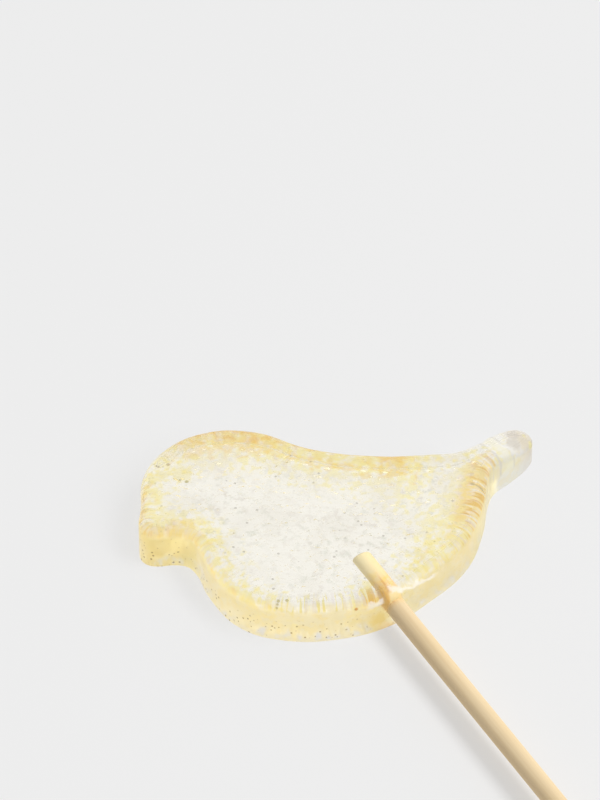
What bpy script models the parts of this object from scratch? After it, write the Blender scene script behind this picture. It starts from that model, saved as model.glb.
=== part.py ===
"""Bird-shaped lollipop of clear boiled sugar on a round wooden stick.

The candy is a slab cast flat: upright sides, a rounded rim at the top and a
flat underside, which it lies on. The stick runs level into the belly and ends
blind inside the candy. Units are metres. The origin is on the underside, on
the stick's axis and about midway up the bird, with the stick along -Y, the beak
towards -X and the tail towards +X.
"""

import math

import bmesh
import bpy
from mathutils import Vector

MM = 0.001

# Candy body
CANDY_THICKNESS = 9.3 * MM
RIM_RADIUS = 2.3 * MM
RIM_SEGMENTS = 5
OUTLINE_STEPS = 6
WELD_DISTANCE = 0.0001 * MM

# The slab gets thinner towards the tip of the tail.
TAIL_ROOT = 32.0 * MM
TAIL_TIP = 46.7 * MM
TAIL_DROP = 3.4 * MM

# Stick
STICK_DIAMETER = 4.0 * MM
STICK_LENGTH = 150.0 * MM
STICK_HEIGHT = 4.8 * MM
STICK_INNER_END = -15.2 * MM
STICK_END_ROUND = 0.35 * MM
STICK_SIDES = 48

# Room that the candy leaves round the stick
FIT_GAP = 0.3 * MM


def arc(centre, radius, first, last, count):
    """Evenly spaced points of an arc between two directions in degrees."""
    directions = [math.radians(first + (last - first) * i / (count - 1)) for i in range(count)]
    return [(centre[0] + radius * math.cos(a), centre[1] + radius * math.sin(a)) for a in directions]


# The bird's outline in millimetres, anticlockwise from the tip of the beak.
BEAK = arc((-30.9, 11.1), 3.2, 149.0, 243.0, 4)
THROAT = [(-29.2, 6.8), (-27.2, 5.1), (-26.7, 2.6)]
BREAST = [(-27.6, -4.0), (-26.4, -14.2), (-20.6, -21.4)]
BELLY = [(-11.3, -26.4), (-1.5, -28.3), (8.5, -26.8), (19.2, -23.2)]
RUMP = [(27.0, -16.6), (32.2, -10.3)]
TAIL_UNDERSIDE = [(34.4, -8.5), (38.8, -7.4)]
TAIL_END = arc((43.4, -2.3), 3.3, -73.0, 107.0, 5)
TAIL_TOP = [(39.2, 0.3), (34.9, -1.2), (30.4, -1.3)]
BACK = [(25.0, 1.0), (15.4, 6.2), (5.9, 14.0)]
HEAD = [(-1.3, 23.6), (-10.2, 28.5), (-20.2, 28.0), (-26.4, 24.0)]
FOREHEAD = [(-30.4, 17.7)]
FRONT = BEAK + THROAT + BREAST + BELLY + RUMP
OUTLINE = FRONT + TAIL_UNDERSIDE + TAIL_END + TAIL_TOP + BACK + HEAD + FOREHEAD


def clear_scene():
    for obj in list(bpy.data.objects):
        bpy.data.objects.remove(obj, do_unlink=True)


def new_collection(name):
    collection = bpy.data.collections.new(name)
    bpy.context.scene.collection.children.link(collection)
    return collection


def principled(name, colour, roughness, transmission=0.0, ior=1.45):
    material = bpy.data.materials.new(name)
    material.use_nodes = True
    shader = material.node_tree.nodes["Principled BSDF"]
    shader.inputs["Base Color"].default_value = (*colour, 1.0)
    shader.inputs["Roughness"].default_value = roughness
    shader.inputs["Metallic"].default_value = 0.0
    shader.inputs["Transmission Weight"].default_value = transmission
    shader.inputs["IOR"].default_value = ior
    return material


def move_to(obj, collection):
    for owner in list(obj.users_collection):
        owner.objects.unlink(obj)
    collection.objects.link(obj)


def slab(name, outline, thickness, collection):
    """A closed slab with the smooth outline through these points, standing on z = 0."""
    data = bpy.data.curves.new(name + "_outline", "CURVE")
    data.dimensions = "2D"
    data.fill_mode = "BOTH"
    data.extrude = thickness / 2
    data.resolution_u = OUTLINE_STEPS
    spline = data.splines.new("BEZIER")
    spline.bezier_points.add(len(outline) - 1)
    spline.use_cyclic_u = True
    for point, (x, y) in zip(spline.bezier_points, outline):
        point.co = Vector((x, y, 0.0)) * MM
        point.handle_left_type = "AUTO"
        point.handle_right_type = "AUTO"
    curve = bpy.data.objects.new(name + "_curve", data)
    curve.location.z = thickness / 2
    collection.objects.link(curve)
    bpy.context.view_layer.update()
    evaluated = curve.evaluated_get(bpy.context.evaluated_depsgraph_get())
    mesh = bpy.data.meshes.new_from_object(evaluated)
    body = bpy.data.objects.new(name, mesh)
    body.matrix_world = curve.matrix_world
    collection.objects.link(body)
    bpy.data.objects.remove(curve, do_unlink=True)
    return body


def weld_and_mark_rim(body):
    """Joins the caps to the sides and gives the upper edges the weight that the rim's bevel reads."""
    shape = bmesh.new()
    shape.from_mesh(body.data)
    bmesh.ops.remove_doubles(shape, verts=shape.verts, dist=WELD_DISTANCE)
    bmesh.ops.recalc_face_normals(shape, faces=shape.faces)
    for side in (1.0, -1.0):
        cap = [face for face in shape.faces if face.normal.z * side > 0.9]
        bmesh.ops.dissolve_faces(shape, faces=cap)
    weight = shape.edges.layers.float.new("bevel_weight_edge")
    for edge in shape.edges:
        if all(corner.co.z > 0.0 for corner in edge.verts):
            edge[weight] = 1.0
    shape.to_mesh(body.data)
    shape.free()


def apply_modifiers(body):
    """Replaces the body's mesh by the one that its modifiers make of it."""
    bpy.context.view_layer.update()
    evaluated = body.evaluated_get(bpy.context.evaluated_depsgraph_get())
    mesh = bpy.data.meshes.new_from_object(evaluated)
    body.modifiers.clear()
    body.data = mesh


def thin_the_tail(body):
    """Lowers everything above the underside, more and more from the tail's root to its tip."""
    for vertex in body.data.vertices:
        along = (vertex.co.x - TAIL_ROOT) / (TAIL_TIP - TAIL_ROOT)
        along = min(max(along, 0.0), 1.0)
        eased = along * along * (3.0 - 2.0 * along)
        height = vertex.co.z + CANDY_THICKNESS / 2
        kept = 1.0 - eased * TAIL_DROP / CANDY_THICKNESS
        vertex.co.z = height * kept - CANDY_THICKNESS / 2


def add_candy(collection, cutters):
    candy = slab("candy", OUTLINE, CANDY_THICKNESS, collection)
    weld_and_mark_rim(candy)
    rim = candy.modifiers.new("rim", "BEVEL")
    rim.limit_method = "WEIGHT"
    rim.width = RIM_RADIUS
    rim.segments = RIM_SEGMENTS
    rim.use_clamp_overlap = False
    apply_modifiers(candy)
    thin_the_tail(candy)
    bore = candy.modifiers.new("bore", "BOOLEAN")
    bore.operation = "DIFFERENCE"
    bore.solver = "EXACT"
    bore.object = add_bore_cutter(cutters)
    candy.data.shade_smooth()
    candy.data.materials.clear()
    candy.data.materials.append(
        principled("boiled_sugar", (0.93, 0.85, 0.58), 0.03, transmission=1.0, ior=1.53)
    )


def rod(name, radius, start_y, end_y):
    """A round bar along Y at the stick's height, from start_y down to end_y."""
    length = start_y - end_y
    middle = (start_y + end_y) / 2
    bpy.ops.mesh.primitive_cylinder_add(
        vertices=STICK_SIDES,
        radius=radius,
        depth=length,
        location=(0.0, middle, STICK_HEIGHT),
        rotation=(math.pi / 2, 0.0, 0.0),
    )
    bar = bpy.context.object
    bar.name = name
    bar.data.name = name
    return bar


def add_bore_cutter(cutters):
    radius = STICK_DIAMETER / 2 + FIT_GAP
    below_belly = min(y for _, y in OUTLINE) * MM - RIM_RADIUS
    cutter = rod("bore_cutter", radius, STICK_INNER_END + FIT_GAP, below_belly)
    cutter.display_type = "WIRE"
    cutter.hide_render = True
    move_to(cutter, cutters)
    return cutter


def add_stick(collection):
    far_end = STICK_INNER_END - STICK_LENGTH
    stick = rod("stick", STICK_DIAMETER / 2, STICK_INNER_END, far_end)
    ends = stick.modifiers.new("end_round", "BEVEL")
    ends.limit_method = "ANGLE"
    ends.angle_limit = math.radians(60)
    ends.width = STICK_END_ROUND
    ends.segments = 3
    stick.data.shade_smooth()
    stick.data.materials.append(principled("birch_wood", (0.78, 0.62, 0.40), 0.6))
    move_to(stick, collection)


def build():
    clear_scene()
    lollipop = new_collection("bird_lollipop")
    cutters = new_collection("cutters")
    add_candy(lollipop, cutters)
    add_stick(lollipop)


build()
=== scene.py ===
"""Looks of the bird lollipop: clear boiled sugar, crackled behind, with fine bubbles, on a birch stick."""
import math

import bmesh
import bpy
import numpy as np
from mathutils import Matrix, Vector, noise
from mathutils.geometry import delaunay_2d_cdt


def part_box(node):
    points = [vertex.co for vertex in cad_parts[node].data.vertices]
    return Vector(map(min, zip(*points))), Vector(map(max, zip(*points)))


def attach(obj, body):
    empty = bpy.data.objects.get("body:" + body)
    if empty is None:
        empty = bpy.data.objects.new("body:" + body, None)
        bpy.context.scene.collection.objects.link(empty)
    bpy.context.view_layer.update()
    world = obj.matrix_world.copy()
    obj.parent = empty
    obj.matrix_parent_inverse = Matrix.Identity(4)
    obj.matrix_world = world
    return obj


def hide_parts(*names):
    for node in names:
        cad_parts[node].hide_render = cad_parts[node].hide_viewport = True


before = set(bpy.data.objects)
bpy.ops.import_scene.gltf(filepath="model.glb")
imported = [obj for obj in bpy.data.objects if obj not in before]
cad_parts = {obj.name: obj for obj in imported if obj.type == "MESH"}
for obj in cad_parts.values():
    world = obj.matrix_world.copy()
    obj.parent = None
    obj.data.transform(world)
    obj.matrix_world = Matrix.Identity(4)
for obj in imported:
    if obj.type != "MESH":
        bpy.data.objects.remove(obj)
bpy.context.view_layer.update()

MM = 0.001

# The seed keeps the crackle's warp the same on every run
NOISE_SEED = 3
noise.seed_set(NOISE_SEED)

candy_high = np.array(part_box("candy")[1]) / MM
stick_low, stick_high = (np.array(corner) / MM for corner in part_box("stick"))

# ------------------------------------------------- the sugar's shape, in millimetres

THICKNESS = candy_high[2]
RIM_RADIUS = 2.3
WALL_TOP = THICKNESS - RIM_RADIUS
WALL_STEPS = 5
RIM_STEPS = 12
FOOT_ANGLE = math.radians(60.0)
OUTLINE_PITCH = 0.25
OUTLINE_ROUNDS = 6
BACK_PITCH = 0.24
FACE_PITCH = 0.36

TAIL_ROOT = 32.0
TAIL_TIP = candy_high[0]
TAIL_DROP = 3.4
TAIL_FADE = (33.0, 36.0)
CREASES = (32.2, 34.5, 38.3)
CREASE_SLANT = 0.25
CREASE_WIDTH = 0.42
CREASE_DEPTH = 0.12

# Where ribs cross the rim: x, y, reach, strength
RIBS = (
    (27.0, -15.5, 8.0, 1.0),
    (33.0, -9.0, 4.0, 0.8),
    (-31.0, 14.0, 6.0, 0.7),
    (-17.0, -23.0, 10.0, 0.9),
    (-27.0, 2.0, 5.0, 0.4),
    (8.0, -26.0, 6.0, 0.4),
    (-8.0, 28.0, 7.0, 0.5),
    (-7.0, -27.0, 9.0, 0.9),
    (20.0, -22.0, 6.0, 0.9),
)

# Directions in the plane of the candy: out through the breast, and from the beak towards the tail's side
BREASTWARD = np.array([-0.506, -0.862])
TAILWARD = np.array([0.862, -0.506])

# Heights between which the candy's lower half gives way to its upper half
UPPER_HALF = (3.0, 4.5)
# How far along towards the tail's side the beak ends
BEAK_END = (-30.0, -27.0)
# Where the stick's hole opens in the breast's wall, along the stick
HOLE_MOUTH = (-24.5, -25.5)

BUBBLE_SEED = 5
BODY_BUBBLES = 700
BODY_REACH = (32, 28)
WALL_BUBBLES = 220

# -------------------------------------------------------------- the sugar's colours

# How much honey colour the sugar took on near places of its edge: x, y, reach, strength against the usual
HONEY = (
    (-31.0, 10.0, 9.0, 0.9),
    (-26.0, -6.0, 9.0, 0.1),
    (-16.0, -24.0, 9.0, -0.45),
    (-5.0, -27.0, 3.5, 1.2),
    (3.0, -28.0, 4.0, -0.5),
    (27.0, -15.0, 8.0, 1.9),
    (32.0, -10.0, 4.0, 1.2),
    (-4.0, 26.0, 9.0, 1.1),
    (10.0, 10.0, 9.0, 0.5),
    (19.0, 4.0, 6.0, 0.4),
    (28.0, -1.0, 6.0, -0.6),
    (-21.0, 29.0, 7.0, -0.45),
    (37.5, -4.0, 4.0, -0.9),
    (43.0, -2.5, 6.0, -1.0),
    (-27.7, 5.5, 3.0, 1.0),
    (-12.0, -27.0, 9.0, -0.75),
    (-13.0, 25.0, 6.0, 0.8),
)
HONEY_REACH = 5.0
HONEY_REACH_TAILWARD = 16.0

CLEAR = (1.0, 0.99, 0.965, 1.0)
CLEAR_TAIL = (1.0, 0.985, 0.80, 1.0)
WASHED = (1.0, 0.955, 0.74, 1.0)
LEMON = (1.0, 0.86, 0.24, 1.0)
AMBER = (0.94, 0.58, 0.10, 1.0)
LIGHT_HONEY = (1.0, 0.915, 0.70, 1.0)
DEEP_HONEY = (1.0, 0.86, 0.31, 1.0)
GOLD_STREAK = (1.0, 0.84, 0.40, 1.0)
PALE_STREAK = (1.0, 0.97, 0.86, 1.0)
LIME_RIB = (0.86, 0.72, 0.14, 1.0)
BROWN_RIB = (0.72, 0.35, 0.03, 1.0)
WHITE_RIB = (0.97, 0.95, 0.93, 1.0)
LILAC_RIB = (0.84, 0.78, 0.84, 1.0)
COOL_GREY = (0.66, 0.69, 0.62, 1.0)
ROSY_GREY = (0.73, 0.68, 0.64, 1.0)
CLOUD_GREY = (0.80, 0.76, 0.70, 1.0)
WALL_SPECK = (0.16, 0.10, 0.04, 1.0)
BACK_SPECK = (0.16, 0.14, 0.10, 1.0)
# Grey for painted shade along the tail's creases
CREASE_SHADE_GREY = (0.66, 0.62, 0.54, 1.0)
TAIL_BAND = (1.0, 0.95, 0.62, 1.0)
TAIL_BEIGE = (0.81, 0.72, 0.60, 1.0)
# White matte sugar for the painted highlight over the stick's hole
HIGHLIGHT_WHITE = (0.94, 0.91, 0.85, 1.0)
THICK_HONEY = (0.90, 0.76, 0.42, 1.0)

# What light takes on over its way through the sugar, and what it gains where it passes to the floor
DEPTH_COLOUR = (0.92, 0.80, 0.30, 1.0)
DEPTH_DENSITY = 9.0
PASSING_COLOUR = (1.06, 1.06, 1.07, 1.0)

SUGAR_IOR = 1.53
POLISHED = 0.02
SATIN_WALL = 0.30
SATIN_RIM = 0.32
SATIN_FAR_WALL = 0.22

# Colours of the single marks
BURNT = (0.50, 0.16, 0.02, 1.0)
OLIVE = (0.40, 0.34, 0.12, 1.0)
# Grey for painted shade at the tail's end
PAINTED_SHADE_GREY = (0.67, 0.61, 0.53, 1.0)
YOLK = (0.93, 0.80, 0.25, 1.0)
BEIGE = (0.79, 0.69, 0.50, 1.0)
STRAW = (0.93, 0.84, 0.46, 1.0)
HAZEL = (0.45, 0.34, 0.15, 1.0)
APRICOT = (0.98, 0.72, 0.22, 1.0)
TOFFEE = (0.92, 0.66, 0.20, 1.0)
OCHRE = (0.90, 0.72, 0.26, 1.0)
# White for a painted highlight by the tail's root
PAINTED_GLINT = (1.0, 0.98, 0.93, 1.0)


def smear(start, end, count, reach, colour):
    """A row of overlapping marks from one place to another."""
    places = np.linspace(start, end, count)
    return [(*map(float, place), reach, colour) for place in places]


# Single marks in the sugar, among them painted shade at the tail's end and a painted highlight by the
# tail's root: x, y, z, reach and colour
MARKS = (
    (-8.3, -27.3, 7.6, 0.60, BURNT),
    *smear((-20.8, -19.1, 9.1), (-21.5, -19.8, 8.2), 3, 0.45, OLIVE),
    *smear((-19.3, -19.9, 9.1), (-19.9, -20.5, 8.3), 3, 0.48, OLIVE),
    (44.6, -3.8, 5.6, 2.5, BEIGE),
    # Painted shade: grey patches at the tail's end, where the clear sugar looks darker
    (41.6, -3.9, 6.4, 2.0, PAINTED_SHADE_GREY),
    (43.0, -1.6, 6.2, 1.8, PAINTED_SHADE_GREY),
    *smear((44.8, -2.4, 5.4), (45.3, -4.8, 4.9), 4, 0.9, YOLK),
    (-19.9, 19.6, 9.3, 2.8, STRAW),
    (-23.6, 21.4, 9.3, 1.6, STRAW),
    (-15.7, 22.6, 9.3, 1.3, STRAW),
    (-21.1, 23.3, 9.3, 0.60, HAZEL),
    (-20.3, 17.4, 9.3, 0.50, OLIVE),
    *smear((27.6, -11.3, 9.2), (29.5, -14.4, 8.5), 9, 0.42, HAZEL),
    # Painted highlight: a pale line beside the dark streak near the tail's root
    *smear((28.3, -10.8, 9.2), (30.2, -13.4, 8.5), 8, 0.36, PAINTED_GLINT),
    (30.2, -9.8, 9.1, 1.7, TOFFEE),
    (-3.7, -29.3, 3.2, 2.6, OCHRE),
    (20.9, -18.3, 9.3, 1.4, APRICOT),
)

# --------------------------------------------------------------- the stick's colours

STICK_MIDDLE = (stick_low[0] + stick_high[0]) / 2
PALE_BIRCH = (0.89, 0.71, 0.45, 1.0)
DEEP_BIRCH = (0.79, 0.585, 0.315, 1.0)
# Darker birch for painted shade on the stick's left side, away from the lamp
PAINTED_SHADE_BIRCH = (0.70, 0.50, 0.26, 1.0)
SOAKED_MOUTH = (1.0, 0.62, 0.18, 1.0)
SOAKED_MIDDLE = (1.0, 0.84, 0.47, 1.0)
SOAKED_END = (1.0, 0.89, 0.53, 1.0)
# Darker colour for painted shade on the lit right side of the stick inside the sugar
LIT_SIDE_SHADE = (0.94, 0.71, 0.34, 1.0)
SOAKED_LINE = (0.72, 0.32, 0.05, 1.0)
BIRCH_ROUGHNESS = 0.62
GRAIN_STRENGTH = 0.25
GRAIN_DEPTH = 0.04


# ---------------------------------------------------------------- shader maths


class Value:
    """A number or colour that changes over a surface, written in plain arithmetic."""

    def __init__(self, finish, socket):
        self.finish = finish
        self.socket = socket

    def _maths(self, operation, *operands):
        return self.finish.node("ShaderNodeMath", {"operation": operation}, dict(enumerate(operands)))

    def __add__(self, other):
        return self._maths("ADD", self, other)

    def __sub__(self, other):
        return self._maths("SUBTRACT", self, other)

    def __rsub__(self, other):
        return self._maths("SUBTRACT", other, self)

    def __mul__(self, other):
        return self._maths("MULTIPLY", self, other)

    def __abs__(self):
        return self._maths("ABSOLUTE", self)

    __radd__ = __add__
    __rmul__ = __mul__

    def most(self, other):
        return self._maths("MAXIMUM", self, other)

    def least(self, other):
        return self._maths("MINIMUM", self, other)

    def ramp(self, low, high):
        """0 below low, 1 above high, eased between them. With low above high it falls instead."""
        sockets = {"Value": self, "From Min": low, "From Max": high}
        return self.finish.node("ShaderNodeMapRange", {"interpolation_type": "SMOOTHSTEP"}, sockets)

    def between(self, low, full, falling, high):
        """0 below low and above high, 1 from full to falling, eased between them."""
        return self.ramp(low, full) * self.ramp(high, falling)


class Finish:
    """The nodes of one material, or of the room's light."""

    def __init__(self, owner, output="ShaderNodeOutputMaterial"):
        owner.use_nodes = True
        self.owner = owner
        self.tree = owner.node_tree
        self.tree.nodes.clear()
        self.output = self.tree.nodes.new(output)

    def finished(self, surface, volume=None):
        self.connect(surface, self.output.inputs["Surface"])
        if volume:
            self.connect(volume, self.output.inputs["Volume"])
        return self.owner

    def node(self, kind, settings=None, sockets=None, output=0):
        made = self.tree.nodes.new(kind)
        for name, setting in (settings or {}).items():
            setattr(made, name, setting)
        for name, value in (sockets or {}).items():
            self.connect(value, made.inputs[name])
        return Value(self, made.outputs[output])

    def connect(self, value, socket):
        if isinstance(value, Value):
            self.tree.links.new(value.socket, socket)
        else:
            socket.default_value = value

    def place(self):
        return self.node("ShaderNodeTexCoord", output="Object")

    def parts(self, vector):
        """The three numbers of a vector."""
        return [self.node("ShaderNodeSeparateXYZ", None, {"Vector": vector}, axis) for axis in range(3)]

    def millimetres(self):
        """x, y and z of the place on the surface."""
        return [axis * (1 / MM) for axis in self.parts(self.place())]

    def away_from(self, x, y, z):
        """How far the surface is from a place, all in millimetres."""
        sockets = {0: self.place(), 1: (x * MM, y * MM, z * MM)}
        return self.node("ShaderNodeVectorMath", {"operation": "DISTANCE"}, sockets, "Value") * (1 / MM)

    def painted(self, name, output="Fac"):
        """A value that the mesh carries at its points."""
        return self.node("ShaderNodeAttribute", {"attribute_name": name}, None, output)

    def stretched(self, scale):
        return self.node("ShaderNodeMapping", None, {"Vector": self.place(), "Scale": scale})

    def noise(self, scale, detail=2.0, vector=None):
        sockets = {"Vector": vector or self.place(), "Scale": scale, "Detail": detail}
        return self.node("ShaderNodeTexNoise", None, sockets)

    def dots(self, scale, size, share):
        """Small round dots, a share of the cells having one."""
        sockets = {"Vector": self.place(), "Scale": scale}
        near = self.node("ShaderNodeTexVoronoi", None, sockets, "Distance")
        kind = self.node("ShaderNodeTexVoronoi", None, sockets, "Color")
        chosen = self.parts(kind)[0].ramp(share, share * 0.9)
        return chosen * near.ramp(size, size * 0.5)

    def ray(self, kind):
        return self.node("ShaderNodeLightPath", output=kind)

    def blend(self, share, first, second):
        """From the first colour to the second by this share."""
        sockets = {"Factor": share, 6: first, 7: second}
        return self.node("ShaderNodeMix", {"data_type": "RGBA"}, sockets, output=2)

    def mixed(self, share, first, second):
        """From the first shader to the second by this share."""
        return self.node("ShaderNodeMixShader", None, {"Fac": share, 1: first, 2: second})

    def bump(self, height, strength, distance):
        sockets = {"Height": height, "Strength": strength, "Distance": distance}
        return self.node("ShaderNodeBump", None, sockets)

    def dull(self, colour):
        return self.node("ShaderNodeBsdfDiffuse", None, {"Color": colour})

    def glassy(self, colour, roughness, ior):
        sockets = {"Base Color": colour, "Roughness": roughness, "IOR": ior, "Transmission Weight": 1.0}
        return self.node("ShaderNodeBsdfPrincipled", None, sockets)

    def passing_light(self, solid, share=1.0, tint=(1.0, 1.0, 1.0, 1.0)):
        """The shader with light from lamps and from the floor let straight through."""
        clear = self.node("ShaderNodeBsdfTransparent", None, {"Color": tint})
        passing = self.ray("Is Shadow Ray").most(self.ray("Is Diffuse Ray"))
        return self.mixed(passing * share, solid, clear)


# ------------------------------------------------------------------- geometry


def underside_outline(node):
    """The candy's foot line, in order, as an array of x and y in millimetres."""
    shape = bmesh.new()
    shape.from_mesh(node.data)
    bmesh.ops.remove_doubles(shape, verts=shape.verts, dist=1e-6)
    following = {}
    for edge in shape.edges:
        if max(corner.co.z for corner in edge.verts) > 1e-6 or len(edge.link_faces) != 2:
            continue
        if abs(edge.link_faces[0].normal.z - edge.link_faces[1].normal.z) > 0.5:
            first, second = (tuple(corner.co.xy / MM) for corner in edge.verts)
            following.setdefault(first, []).append(second)
            following.setdefault(second, []).append(first)
    shape.free()
    start = min(following)
    line, previous = [start], None
    while len(line) <= len(following):
        ahead = [point for point in following[line[-1]] if point != previous]
        if not ahead or (ahead[0] == start and len(line) > 2):
            break
        previous = line[-1]
        line.append(ahead[0])
    line = np.array(line[: len(following)])
    ahead = np.roll(line, -1, axis=0)
    turning = np.sum(line[:, 0] * ahead[:, 1] - line[:, 1] * ahead[:, 0])
    return line if turning > 0 else line[::-1]


def evenly(line, pitch):
    """A closed line resampled to even steps along a smooth curve through its points."""
    before, after, beyond = (np.roll(line, shift, axis=0) for shift in (1, -1, -2))
    steps = np.linspace(0, 1, 8, endpoint=False)[:, None, None]
    curve = 0.5 * (
        2 * line
        + (after - before) * steps
        + (2 * before - 5 * line + 4 * after - beyond) * steps**2
        + (3 * line - 3 * after + beyond - before) * steps**3
    )
    curve = curve.transpose(1, 0, 2).reshape(-1, 2)
    closed = np.vstack([curve, curve[:1]])
    along = np.concatenate([[0], np.cumsum(np.hypot(*np.diff(closed, axis=0).T))])
    stations = np.linspace(0, along[-1], int(along[-1] / pitch), endpoint=False)
    return np.column_stack([np.interp(stations, along, closed[:, axis]) for axis in (0, 1)])


def softened(line, rounds):
    for _ in range(rounds):
        line = (np.roll(line, 1, axis=0) + 2 * line + np.roll(line, -1, axis=0)) / 4
    return line


def inward_normals(line):
    direction = np.roll(line, -1, axis=0) - np.roll(line, 1, axis=0)
    direction /= np.linalg.norm(direction, axis=1)[:, None]
    return np.column_stack([-direction[:, 1], direction[:, 0]])


def against(points, line):
    """For each point: if it is inside the closed line, how far from it, and its nearest point on it."""
    inside = np.zeros(len(points), bool)
    depth = np.zeros(len(points))
    nearest = np.zeros(len(points), int)
    ends = np.roll(line, -1, axis=0)
    rise = np.where(ends[:, 1] == line[:, 1], 1e-9, ends[:, 1] - line[:, 1])
    batch = 4000
    for start in range(0, len(points), batch):
        some = slice(start, start + batch)
        x, y = points[some, 0, None], points[some, 1, None]
        crosses = (line[:, 1] > y) != (ends[:, 1] > y)
        where = line[:, 0] + (y - line[:, 1]) * (ends[:, 0] - line[:, 0]) / rise
        inside[some] = (crosses & (x < where)).sum(1) % 2 == 1
        gaps = (x - line[:, 0]) ** 2 + (y - line[:, 1]) ** 2
        nearest[some] = gaps.argmin(1)
        depth[some] = np.sqrt(gaps.min(1))
    return inside, depth, nearest


def filled(line, pitch):
    """Points of an even triangular net inside the line, and the triangles of line and net together."""
    low, high = line.min(0) - pitch, line.max(0) + pitch
    rows = np.arange(low[1], high[1], pitch * math.sqrt(0.75))
    columns = np.arange(low[0], high[0], pitch)
    net = np.array([(x + pitch / 2 * (row % 2), y) for row, y in enumerate(rows) for x in columns])
    inside, depth, _ = against(net, line)
    net = net[inside & (depth > 0.6 * pitch)]
    corners = [Vector(point) for point in np.vstack([line, net])]
    result = delaunay_2d_cdt(corners, [], [list(range(len(line)))], 1, 1e-7)
    return net, np.array([face for face in result[2] if len(face) == 3])


def eased(values, low, high):
    share = np.clip((values - low) / (high - low), 0, 1)
    return share * share * (3 - 2 * share)


def thickness_share(x):
    """How much of the full thickness is left, thinning towards the tip of the tail."""
    return 1 - eased(x, TAIL_ROOT, TAIL_TIP) * TAIL_DROP / THICKNESS


def sampled(points, function):
    return np.array([function(x, y) for x, y in points])


def swells(points, across, level):
    """Smooth random swells about this wide, between -1 and 1. Each level has its own."""
    return sampled(points, lambda x, y: noise.noise(Vector((x / across, y / across, level))))


def cell_gap(x, y, size, seed, warp=0.35):
    """How far a point is from the border between two grains of about this size."""
    spot = Vector((x / size, y / size, seed))
    spot += warp * noise.noise_vector(spot * 1.3)
    near = noise.voronoi(spot)[0]
    return near[1] - near[0]


def crackle(x, y):
    """Height of the fine crackled relief on the candy's back, in millimetres."""
    coarse = cell_gap(x, y, 1.7, 3.0)
    fine = cell_gap(x, y, 0.8, 11.0)
    swell = noise.noise(Vector((x / 1.8, y / 1.8, 5.0)))
    patch = eased(0.5 + 0.5 * noise.noise(Vector((x / 4.0, y / 4.0, 9.0))), 0.3, 0.7)
    return 0.24 * min(coarse, 0.5) + 0.22 * patch * min(fine, 0.5) + 0.13 * swell + 0.06


def nearness(feet, x, y, reach):
    """1 at a place of the edge, fading over its reach."""
    return np.exp(-((feet[:, 0] - x) ** 2 + (feet[:, 1] - y) ** 2) / reach**2)


def honey_share(points, feet, depths):
    """How much of the rim's honey colour each point has, from 0 in the middle to over 1."""
    gain = 1 + sum(extra * nearness(feet, x, y, reach) for x, y, reach, extra in HONEY)
    wider = eased(points[:, :2] @ TAILWARD, 5.0, 28.0)
    reach = HONEY_REACH + (HONEY_REACH_TAILWARD - HONEY_REACH) * wider
    return np.maximum(gain, 0.05) * np.exp(-((depths / reach) ** 1.3))


def rib_share(feet):
    """How strongly ribs cross the rim near these places of the edge, from 0 to 1."""
    share = sum(strength * nearness(feet, x, y, reach) for x, y, reach, strength in RIBS)
    return np.minimum(share, 1.0)


def lower_side(inward):
    """How far each place of the edge faces the bird's breast and beak, from 0 to 1."""
    return eased(-inward @ BREASTWARD, -0.35, 0.3)


def ridges(foot, depth):
    """Height of the ribs that run inwards from the rim, in millimetres."""
    spots = np.column_stack([foot / 0.8, depth / 6.0])
    height = np.array([noise.noise(Vector(spot)) for spot in spots])
    return 0.14 * np.maximum(height, -0.2) * eased(depth, 0.2, 1.5) * (1 - eased(depth, 7.0, 12.0))


def creases(x, y):
    """Depth of the fine creases across the tail, in millimetres."""
    across = x + CREASE_SLANT * y
    return sum(CREASE_DEPTH * np.exp(-(((across - place) / CREASE_WIDTH) ** 2)) for place in CREASES)


def wall_and_rim(outline, inward):
    """Rings of points up the wall and over the ribbed rim, and how far in each ring lies."""
    levels = [(0.0, WALL_TOP * step / WALL_STEPS) for step in range(WALL_STEPS)]
    for step in range(RIM_STEPS + 1):
        turn = math.pi / 2 * step / RIM_STEPS
        levels.append((RIM_RADIUS * (1 - math.cos(turn)), THICKNESS - RIM_RADIUS * (1 - math.sin(turn))))
    rib = swells(outline, 0.7, 2.0) + 0.3
    rib *= 1 - 0.8 * eased(outline[:, 0], TAIL_ROOT, TAIL_ROOT + 3)
    crossed = 0.3 + rib_share(outline)
    rings, insets = [], []
    for inset, height in levels:
        ring = outline + inward * inset
        z = height * thickness_share(ring[:, 0])
        if height:
            ribbed = max(0.0, math.sin(math.pi * (height - WALL_TOP) / RIM_RADIUS))
            lean = 0.03 * swells(ring, 4, height / 5)
            ripple = 0.02 * swells(ring, 1.1, height / 0.9)
            ring = ring + inward * (lean + ribbed * (0.06 * rib * crossed + ripple))[:, None]
        rings.append(np.column_stack([ring, z]))
        insets.append(np.full(len(outline), inset))
    return rings, insets


def waved_face(net, depth):
    """Heights of the top face, gently waved and creased across the tail."""
    waves = 0.05 * swells(net, 9, 1.0) + 0.015 * swells(net, 2.4, 4.0)
    waves *= eased(depth, RIM_RADIUS, 3 * RIM_RADIUS)
    return THICKNESS * thickness_share(net[:, 0]) + waves - creases(*net.T)


def crackled_back(net, depth, foot, low_side):
    """Heights of the back: crackled, calmer near the breast, ribbed near the rim, plain at the tail."""
    plain_tail = 1 - eased(net[:, 0], *TAIL_FADE)
    calm = low_side * (1 - eased(depth, 3.0, 13.0))
    relief = sampled(net, crackle) * eased(depth, 0.0, 1.6) * plain_tail * (1 - 0.85 * calm)
    relief += ridges(foot, depth) * plain_tail
    return np.maximum(relief, 0.0)


def paint(mesh, name, values):
    """Lets the mesh carry values at its points for its finish, one number or three for each."""
    kind, field = ("FLOAT", "value") if values.ndim == 1 else ("FLOAT_VECTOR", "vector")
    mesh.attributes.new(name, kind, "POINT").data.foreach_set(field, values.ravel())


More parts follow.
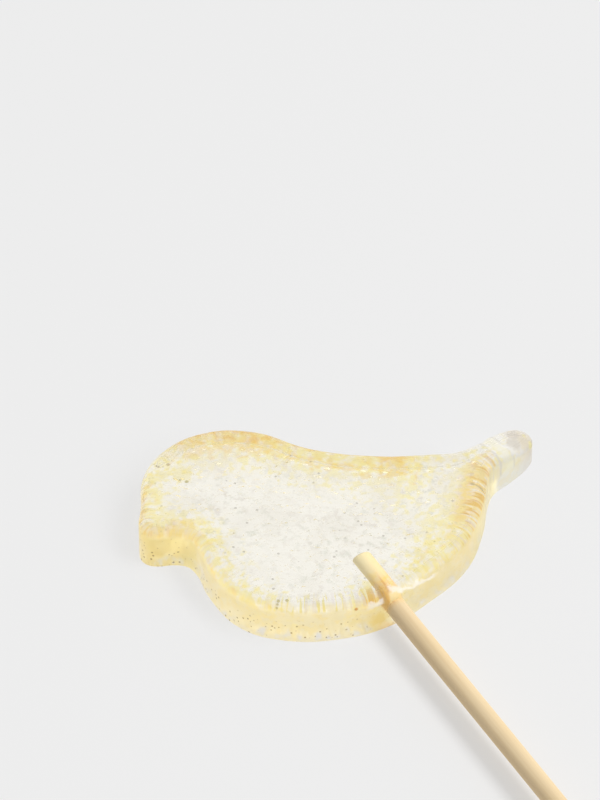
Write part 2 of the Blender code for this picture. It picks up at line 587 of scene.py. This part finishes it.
def candy_mesh(outline):
    """The sugar body: foot, wall, ribbed rim, gently waved face and crackled back."""
    inward = inward_normals(outline)
    low_side = lower_side(inward)
    around = np.arange(len(outline))
    rings, depths = wall_and_rim(outline, inward)
    stations = [around] * len(rings)
    last_ring = len(outline) * (len(rings) - 1)
    starts = np.arange(0, last_ring, len(outline))[:, None]
    low, ahead = (starts + around).ravel(), (starts + np.roll(around, -1)).ravel()
    walls = np.column_stack([low, ahead, ahead + len(outline), low + len(outline)])

    net, face = filled(rings[-1][:, :2], FACE_PITCH)
    _, depth, nearest = against(net, outline)
    points = [*rings, np.column_stack([net, waved_face(net, depth)])]
    depths.append(depth)
    stations.append(nearest)
    face += last_ring
    used = last_ring + len(outline) + len(net)

    net, back = filled(outline, BACK_PITCH)
    _, depth, nearest = against(net, outline)
    heights = crackled_back(net, depth, outline[nearest], low_side[nearest])
    points.append(np.column_stack([net, heights]))
    depths.append(depth)
    stations.append(nearest)
    back = np.where(back < len(outline), back, back - len(outline) + used)[:, ::-1]

    points, depths, stations = np.vstack(points), np.concatenate(depths), np.concatenate(stations)
    feet = outline[stations]
    mesh = bpy.data.meshes.new("candy_body")
    mesh.from_pydata((points * MM).tolist(), [], [*walls.tolist(), *face.tolist(), *back.tolist()])
    mesh.shade_smooth()
    mesh.set_sharp_from_angle(angle=FOOT_ANGLE)
    paint(mesh, "from_edge", np.column_stack([feet, depths]))
    paint(mesh, "honey", honey_share(points, feet, depths))
    paint(mesh, "lower_side", low_side[stations])
    paint(mesh, "ribbed", rib_share(feet))
    return mesh


def add_piece(name, mesh, material):
    piece = bpy.data.objects.new(name, mesh)
    bpy.context.scene.collection.objects.link(piece)
    mesh.materials.append(material)
    return piece


# ---------------------------------------------------------------- boiled sugar


class Sugar(Finish):
    """The boiled sugar's finish: clear, with honey towards its edge. Places are in millimetres."""

    def __init__(self):
        """Sets the places and the shares, from 0 to 1, that the colours below go by."""
        super().__init__(bpy.data.materials.new("boiled_sugar"))
        self.x, self.y, self.z = self.millimetres()
        self.tailward = self.x * TAILWARD[0] + self.y * TAILWARD[1]
        self.from_edge = self.painted("from_edge", "Vector")
        self.depth = self.parts(self.from_edge)[2]
        self.far_side = 1.0 - self.painted("lower_side")
        self.fleck = self.noise(640.0, 1.5)
        self.broad = self.noise(170.0, 2.0)
        self.honey = self.painted("honey") * (0.5 + self.broad)

        self.above = self.z.ramp(*UPPER_HALF)
        self.below = 1.0 - self.above
        self.wall = 1.0 - self.depth.ramp(0.0, 0.25)
        self.rim = 1.0 - self.depth.ramp(1.5, 2.6)
        ragged = self.depth + (self.fleck - 0.5) * 2.0 + (self.z - 6.6).most(0.0) * 0.5
        self.side = (1.0 - ragged.ramp(0.0, 1.3)) * self.above.most(self.wall)
        self.tail = self.x.ramp(*TAIL_FADE)
        self.beak = 1.0 - self.tailward.ramp(*BEAK_END)
        self.clear_of_wall = self.depth.ramp(1.0, 7.0).most(self.far_side)

        under = self.below * self.depth.ramp(1.0, 6.0).most(self.far_side)
        self.tinted = self.above * (1.0 - self.depth.ramp(3.0, 11.0)) + under
        lemon = (self.honey.least(0.9) * 0.8 + (self.fleck - 0.5) * 3.0).ramp(0.25, 0.85)
        self.lemon = lemon * self.tinted * self.honey.ramp(0.02, 0.20)

    def with_honey(self):
        """Clear sugar with lemon and amber flecks near the rim, and a smooth wash on the wall."""
        clear = self.blend(self.tail * self.wall, CLEAR, CLEAR_TAIL)
        washed = self.blend(self.honey.ramp(0.05, 0.8) * self.below * 0.6, clear, WASHED)
        colour = self.blend(self.lemon * (0.8 - self.wall * 0.2), washed, LEMON)
        amber = (self.honey + (self.noise(520.0, 1.5) - 0.5) * 3.0).ramp(1.0, 1.7) * self.tinted
        near_rim = 1.0 - (self.depth + (self.fleck - 0.5) * 5.0).ramp(3.5, 7.0)
        amber = amber * near_rim * (0.6 + self.far_side * 0.4)
        colour = self.blend(amber * 0.85, colour, AMBER)
        light = (self.honey.ramp(0.05, 1.1) * 0.45 + (1.0 - self.tail) * 0.35) * self.side
        colour = self.blend(light, colour, LIGHT_HONEY)
        return self.blend(self.honey.ramp(1.1, 2.0) * self.side * 0.72, colour, DEEP_HONEY)

    def with_streaks(self, colour):
        """Gold and pale streaks in the side."""
        streaky = self.noise(430.0, 2.5) + self.honey * 0.04
        colour = self.blend(streaky.ramp(0.50, 0.64) * self.side * 0.5, colour, GOLD_STREAK)
        pale = streaky.ramp(0.48, 0.38) * self.side * self.z.ramp(1.0, 4.0) * (1.0 - self.beak)
        return self.blend(pale * 0.4, colour, PALE_STREAK)

    def drawn_inwards(self, detail, stretch):
        """Noise in long strokes that run inwards from the edge."""
        sockets = {0: self.from_edge, 1: stretch}
        strokes = self.node("ShaderNodeVectorMath", {"operation": "MULTIPLY"}, sockets)
        return self.noise(1.0, detail, strokes)

    def with_ribs(self, colour):
        """Ribs that run inwards over the rim."""
        rib = self.drawn_inwards(2.0, (1.3, 1.3, 0.16))
        tone = self.drawn_inwards(1.0, (1.0, 1.0, 0.12))
        ending = (self.depth + (self.fleck - 0.5) * 4.0).ramp(2.2, 4.5)
        near = self.depth.ramp(0.05, 0.3) * (1.0 - ending) * self.painted("ribbed") * self.above
        dark = self.blend(self.honey.ramp(0.9, 1.5), LIME_RIB, BROWN_RIB)
        colour = self.blend(rib.ramp(0.50, 0.59) * near * 0.9, colour, dark)
        colour = self.blend(rib.ramp(0.43, 0.36) * near * 0.75, colour, WHITE_RIB)
        return self.blend(tone.ramp(0.56, 0.62) * near * 0.7, colour, LILAC_RIB)

    def with_mottling(self, colour):
        """Grey grains and clouds on the crackled back."""
        shade = self.blend(self.noise(400.0, 1.0).ramp(0.4, 0.6), COOL_GREY, ROSY_GREY)
        grains = self.noise(500.0, 3.0).ramp(0.44, 0.64) * self.noise(950.0, 2.0).ramp(0.36, 0.58)
        grains = grains * (0.45 + self.noise(55.0, 1.0).ramp(0.38, 0.62) * 0.55)
        grains = grains * self.below * (1.0 - self.lemon * 0.4) * self.clear_of_wall
        colour = self.blend(grains, colour, shade)
        clouds = self.noise(110.0, 2.0).ramp(0.42, 0.66) * self.below * self.clear_of_wall
        return self.blend(clouds * 0.5, colour, CLOUD_GREY)

    def with_specks(self, colour):
        """Dark specks, most of them low on the wall under the beak and breast, and a few on the back."""
        low_wall = (1.0 - self.tailward.ramp(0.0, 18.0)) * (1.0 - self.z.ramp(3.5, 6.5))
        share = low_wall.most(self.beak * 0.6) * 0.85 + 0.1
        share = share * self.wall.most(self.rim * self.beak * 0.5)
        colour = self.blend(self.dots(1050.0, 0.30, 0.7) * share, colour, WALL_SPECK)
        scattered = self.dots(900.0, 0.33, 0.06) * self.below * self.depth.ramp(1.0, 3.0)
        return self.blend(scattered * 0.7, colour, BACK_SPECK)

    def with_tail_bands(self, colour):
        """Painted shade along the tail's fine creases, a lemon band across the tail, and its beige tip."""
        along_tail = self.x + self.y * CREASE_SLANT
        on_tail = self.above * self.tail.most(self.x.ramp(32.5, 33.5))
        # Painted shade: a grey line along each crease
        for crease in CREASES:
            away = abs(along_tail - crease + (self.fleck - 0.5) * 0.6)
            line = away.ramp(0.50, 0.05) * on_tail * self.broad.ramp(0.42, 0.52)
            colour = self.blend(line * 0.65, colour, CREASE_SHADE_GREY)
        band = along_tail.between(35.0, 36.2, 37.4, 38.4) * self.above
        colour = self.blend(band * (0.35 + self.fleck * 0.6), colour, TAIL_BAND)
        tip = self.x.ramp(39.5, 45.0) * (0.5 + self.fleck * 0.8)
        return self.blend(tip.least(1.0) * 0.85, colour, TAIL_BEIGE)

    def with_marks(self, colour):
        """The single marks, each with a ragged edge."""
        for *spot, reach, mark in MARKS:
            away = self.away_from(*spot) + (self.fleck - 0.5) * reach
            colour = self.blend(away.ramp(reach, reach * 0.5), colour, mark)
        return colour

    def painted_highlight_streak(self):
        """Where a painted highlight lies: a pale ragged streak over the stick's hole."""
        left = self.x.ramp(-2.0, -2.5)
        sunk = (self.x + 1.0).most(0.0) * 0.23 + left * 1.4
        ragged = (self.noise(520.0, 3.0) - 0.5) * 3.0
        away = abs(self.z - (9.0 - sunk) + ragged) - left * 0.3
        ends = self.x.between(-6.6, -5.4, 8.5, 11.5) * self.y.ramp(*HOLE_MOUTH)
        gap = self.x.between(-3.0, -2.4, -1.2, -0.6)
        return away.ramp(0.60, 0.20) * ends * (1.0 - gap)

    def closed_over(self):
        """Where honeyed sugar closed over the right side of the stick at its hole."""
        beside = self.x.between(-1.50, -1.05, 0.6, 1.4) * self.z.between(5.0, 5.6, 8.4, 8.9)
        return beside * self.y.ramp(*HOLE_MOUTH)

    def roughness(self):
        """Polished, with a satin wall and a satin rim on the breast's side."""
        satin = self.wall * SATIN_WALL + self.rim * (1.0 - self.wall) * SATIN_RIM
        return POLISHED + satin * (1.0 - self.far_side) + self.wall * self.far_side * SATIN_FAR_WALL


def boiled_sugar():
    sugar = Sugar()
    colour = sugar.with_streaks(sugar.with_honey())
    colour = sugar.with_mottling(sugar.with_ribs(colour))
    colour = sugar.with_tail_bands(sugar.with_specks(colour))
    solid = sugar.glassy(sugar.with_marks(colour), sugar.roughness(), SUGAR_IOR)
    solid = sugar.mixed(sugar.closed_over() * 0.8, solid, sugar.dull(THICK_HONEY))
    # Painted highlight: white matte sugar mixed in along the ragged streak over the stick's hole
    solid = sugar.mixed(sugar.painted_highlight_streak() * 0.6, solid, sugar.dull(HIGHLIGHT_WHITE))
    entering = 1.0 - sugar.node("ShaderNodeNewGeometry", output="Backfacing")
    held = sugar.wall * entering * (1.0 - sugar.tail) * 0.40
    sockets = {"Color": DEPTH_COLOUR, "Density": DEPTH_DENSITY}
    volume = sugar.node("ShaderNodeVolumeAbsorption", None, sockets)
    return sugar.finished(sugar.passing_light(solid, 1.0 - held, PASSING_COLOUR), volume)


# ------------------------------------------------------------- other materials


def trapped_air():
    finish = Finish(bpy.data.materials.new("trapped_air"))
    colour = finish.blend(finish.noise(3000.0, 1.0), (1.0, 1.0, 1.0, 1.0), (0.97, 0.94, 0.88, 1.0))
    return finish.finished(finish.passing_light(finish.glassy(colour, 0.0, 1 / SUGAR_IOR)))


def birch():
    """Pale birch with painted shade on its left side; soaked and darker where it is inside the sugar, with
    painted shade on its lit right side there.
    """
    finish = Finish(bpy.data.materials.new("birch_wood"))
    x, y, _ = finish.millimetres()
    across = x - STICK_MIDDLE
    fibres = finish.noise(2600.0, 4.0, finish.stretched((1.0, 0.02, 1.0)))
    clouds = finish.noise(90.0, 2.0, finish.stretched((1.0, 0.3, 1.0)))
    grain = fibres.ramp(0.3, 0.75) * 0.45 + clouds.ramp(0.35, 0.7) * 0.35
    wood_and_shade = finish.blend(grain, PALE_BIRCH, DEEP_BIRCH)
    # Painted shade: the stick's left side, away from the lamp, made darker
    wood_and_shade = finish.blend(across.ramp(-0.6, -2.6) * 0.6, wood_and_shade, PAINTED_SHADE_BIRCH)
    soaked_and_shaded = finish.blend(y.ramp(-27.0, -20.0), SOAKED_MOUTH, SOAKED_MIDDLE)
    soaked_and_shaded = finish.blend(y.ramp(-21.5, -16.0) * 0.7, soaked_and_shaded, SOAKED_END)
    # Painted shade: the lit right side of the stick inside the sugar made darker, evening out its light
    # and shade
    soaked_and_shaded = finish.blend(across.ramp(-1.2, 2.6) * 0.7, soaked_and_shaded, LIT_SIDE_SHADE)
    lines = finish.noise(1300.0, 1.0, finish.stretched((1.0, 0.04, 1.0))).ramp(0.52, 0.62)
    soaked_and_shaded = finish.blend(lines * y.ramp(-20.0, -25.0) * 0.6, soaked_and_shaded, SOAKED_LINE)
    inside = y.ramp(-30.0, -27.0)
    sockets = {
        "Base Color": finish.blend(inside * 0.9, wood_and_shade, soaked_and_shaded),
        "Roughness": BIRCH_ROUGHNESS,
        "Normal": finish.bump(fibres, GRAIN_STRENGTH, GRAIN_DEPTH * MM),
    }
    surface = finish.node("ShaderNodeBsdfPrincipled", None, sockets)
    return finish.finished(finish.passing_light(surface, inside))


def pale_floor():
    finish = Finish(bpy.data.materials.new("pale_floor"))
    glow = finish.node("ShaderNodeEmission", None, {"Color": GLOW_COLOUR})
    return finish.finished(finish.mixed(FLOOR_GLOW, finish.dull(FLOOR_COLOUR), glow))


# --------------------------------------------------------------- air bubbles


def ball():
    """The points and triangles of a small round ball of radius 1."""
    shape = bmesh.new()
    bmesh.ops.create_icosphere(shape, subdivisions=2, radius=1.0)
    points = np.array([corner.co for corner in shape.verts])
    faces = np.array([[corner.index for corner in face.verts] for face in shape.faces])
    shape.free()
    return points, faces


def balls_mesh(name, spots):
    """One mesh of many balls, each given as its centre and three half widths in millimetres."""
    points, faces = ball()
    spots = np.array(spots)
    vertices = spots[:, None, :3] + points[None] * spots[:, None, 3:]
    steps = np.arange(len(spots))[:, None, None] * len(points)
    mesh = bpy.data.meshes.new(name)
    mesh.from_pydata(list(vertices.reshape(-1, 3) * MM), [], list((faces[None] + steps).reshape(-1, 3)))
    mesh.shade_smooth()
    return mesh


def bubble_spots(outline):
    """Air bubbles: a scatter low in the body and rows close to the wall."""
    draws = np.random.RandomState(BUBBLE_SEED)
    inward = inward_normals(outline)
    low, high = [-reach for reach in BODY_REACH], BODY_REACH
    places = draws.uniform(low, high, (BODY_BUBBLES, 2))
    inside, depth, _ = against(places, outline)
    spots = []
    for place in places[inside & (depth > 1.5)]:
        size = 0.05 + 0.10 * draws.rand() ** 2
        spots.append((*place, draws.uniform(0.8, 3.0), size, size * draws.uniform(0.8, 1.4), size))
    for _ in range(WALL_BUBBLES):
        station = draws.randint(len(outline))
        place = outline[station] + inward[station] * draws.uniform(0.35, 0.8)
        if draws.rand() < (1.0 if place[0] < 5 and place[1] < 15 else 0.35):
            height = (0.6 + WALL_TOP * draws.rand() ** 1.6) * thickness_share(place[0])
            size = 0.04 + 0.06 * draws.rand() ** 2
            spots.append((*place, height, size, size, size * draws.uniform(1.0, 1.5)))
    return spots


# ----------------------------------------------------------------- the object

foot = softened(evenly(underside_outline(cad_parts["candy"]), OUTLINE_PITCH), OUTLINE_ROUNDS)

candy = add_piece("candy_body", candy_mesh(foot), boiled_sugar())
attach(candy, "root")
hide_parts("candy")

bubbles = add_piece("air_bubbles", balls_mesh("air_bubbles", bubble_spots(foot)), trapped_air())
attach(bubbles, "root")

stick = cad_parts["stick"]
stick.data.materials.clear()
stick.data.materials.append(birch())
stick.data.shade_smooth()

# ------------------------------------------------------- floor, light, camera

FLOOR_REACH = 3.0
FLOOR_COLOUR = (0.866, 0.866, 0.866, 1.0)
GLOW_COLOUR = (0.871, 0.871, 0.871, 1.0)
FLOOR_GLOW = 0.5

VIEW_AZIMUTH = math.radians(-30.4)
VIEW_ELEVATION = math.radians(45.0)
VIEW_DISTANCE = 1200.0
VIEW_WIDTH = 120.2
VIEW_CENTRE = (15.0, 33.7, 0.0)

LIGHT_TOWARDS = (0.585, -0.72, 1.0)
LIGHT_DISTANCE = 4.0
LIGHT_SIZE = (1.25, 4.4)
LIGHT_POWER = 116.0
MOST_BOUNCES = 32

floor_mesh = bpy.data.meshes.new("floor")
corners = [(x * FLOOR_REACH, y * FLOOR_REACH, 0) for x, y in ((-1, -1), (1, -1), (1, 1), (-1, 1))]
floor_mesh.from_pydata(corners, [], [(0, 1, 2, 3)])
floor = add_piece("floor", floor_mesh, pale_floor())


def direction(azimuth, elevation):
    """Towards something seen at this azimuth and elevation, azimuth 0 being towards -Y."""
    flat = math.cos(elevation)
    return Vector((math.sin(azimuth) * flat, -math.cos(azimuth) * flat, math.sin(elevation)))


def add_camera():
    data = bpy.data.cameras.new("camera")
    data.sensor_fit = "HORIZONTAL"
    data.lens = data.sensor_width * VIEW_DISTANCE / VIEW_WIDTH
    data.clip_start = 0.01
    camera = bpy.data.objects.new("camera", data)
    bpy.context.scene.collection.objects.link(camera)
    towards = direction(VIEW_AZIMUTH, VIEW_ELEVATION)
    camera.location = (Vector(VIEW_CENTRE) + towards * VIEW_DISTANCE) * MM
    camera.rotation_euler = towards.to_track_quat("Z", "Y").to_euler()
    bpy.context.scene.camera = camera


def add_lamp():
    """A large lamp high up over the stick, its long side along the stick."""
    data = bpy.data.lights.new("key", "AREA")
    data.shape = "RECTANGLE"
    data.size, data.size_y = LIGHT_SIZE
    data.energy = LIGHT_POWER
    key = bpy.data.objects.new("key", data)
    towards = Vector(LIGHT_TOWARDS).normalized()
    short = Vector((0.0, -1.0, 0.0)).cross(towards).normalized()
    key.location = towards * LIGHT_DISTANCE
    key.rotation_euler = Matrix((short, towards.cross(short), towards)).transposed().to_euler()
    key.visible_transmission = False
    key.visible_glossy = False
    bpy.context.scene.collection.objects.link(key)


def add_room():
    """A white room, dimmer for the floor than for what shines in the sugar, and brighter on one side."""
    world = bpy.data.worlds.new("room")
    bpy.context.scene.world = world
    room = Finish(world, "ShaderNodeOutputWorld")
    sideways = room.parts(room.node("ShaderNodeTexCoord", output="Generated"))[0]
    floor_light = 0.50 + sideways * 0.25
    glints = 1.14 + sideways * 0.12
    strength = glints + (floor_light - glints) * room.ray("Is Diffuse Ray")
    sockets = {"Color": (1.0, 1.0, 1.0, 1.0), "Strength": strength}
    room.finished(room.node("ShaderNodeBackground", None, sockets))


add_camera()
add_lamp()
add_room()

scene = bpy.context.scene
scene.view_settings.view_transform = "Standard"
scene.cycles.max_bounces = MOST_BOUNCES
scene.cycles.glossy_bounces = MOST_BOUNCES
scene.cycles.transmission_bounces = MOST_BOUNCES
scene.cycles.transparent_max_bounces = MOST_BOUNCES
scene.cycles.diffuse_bounces = 4
scene.cycles.caustics_reflective = False
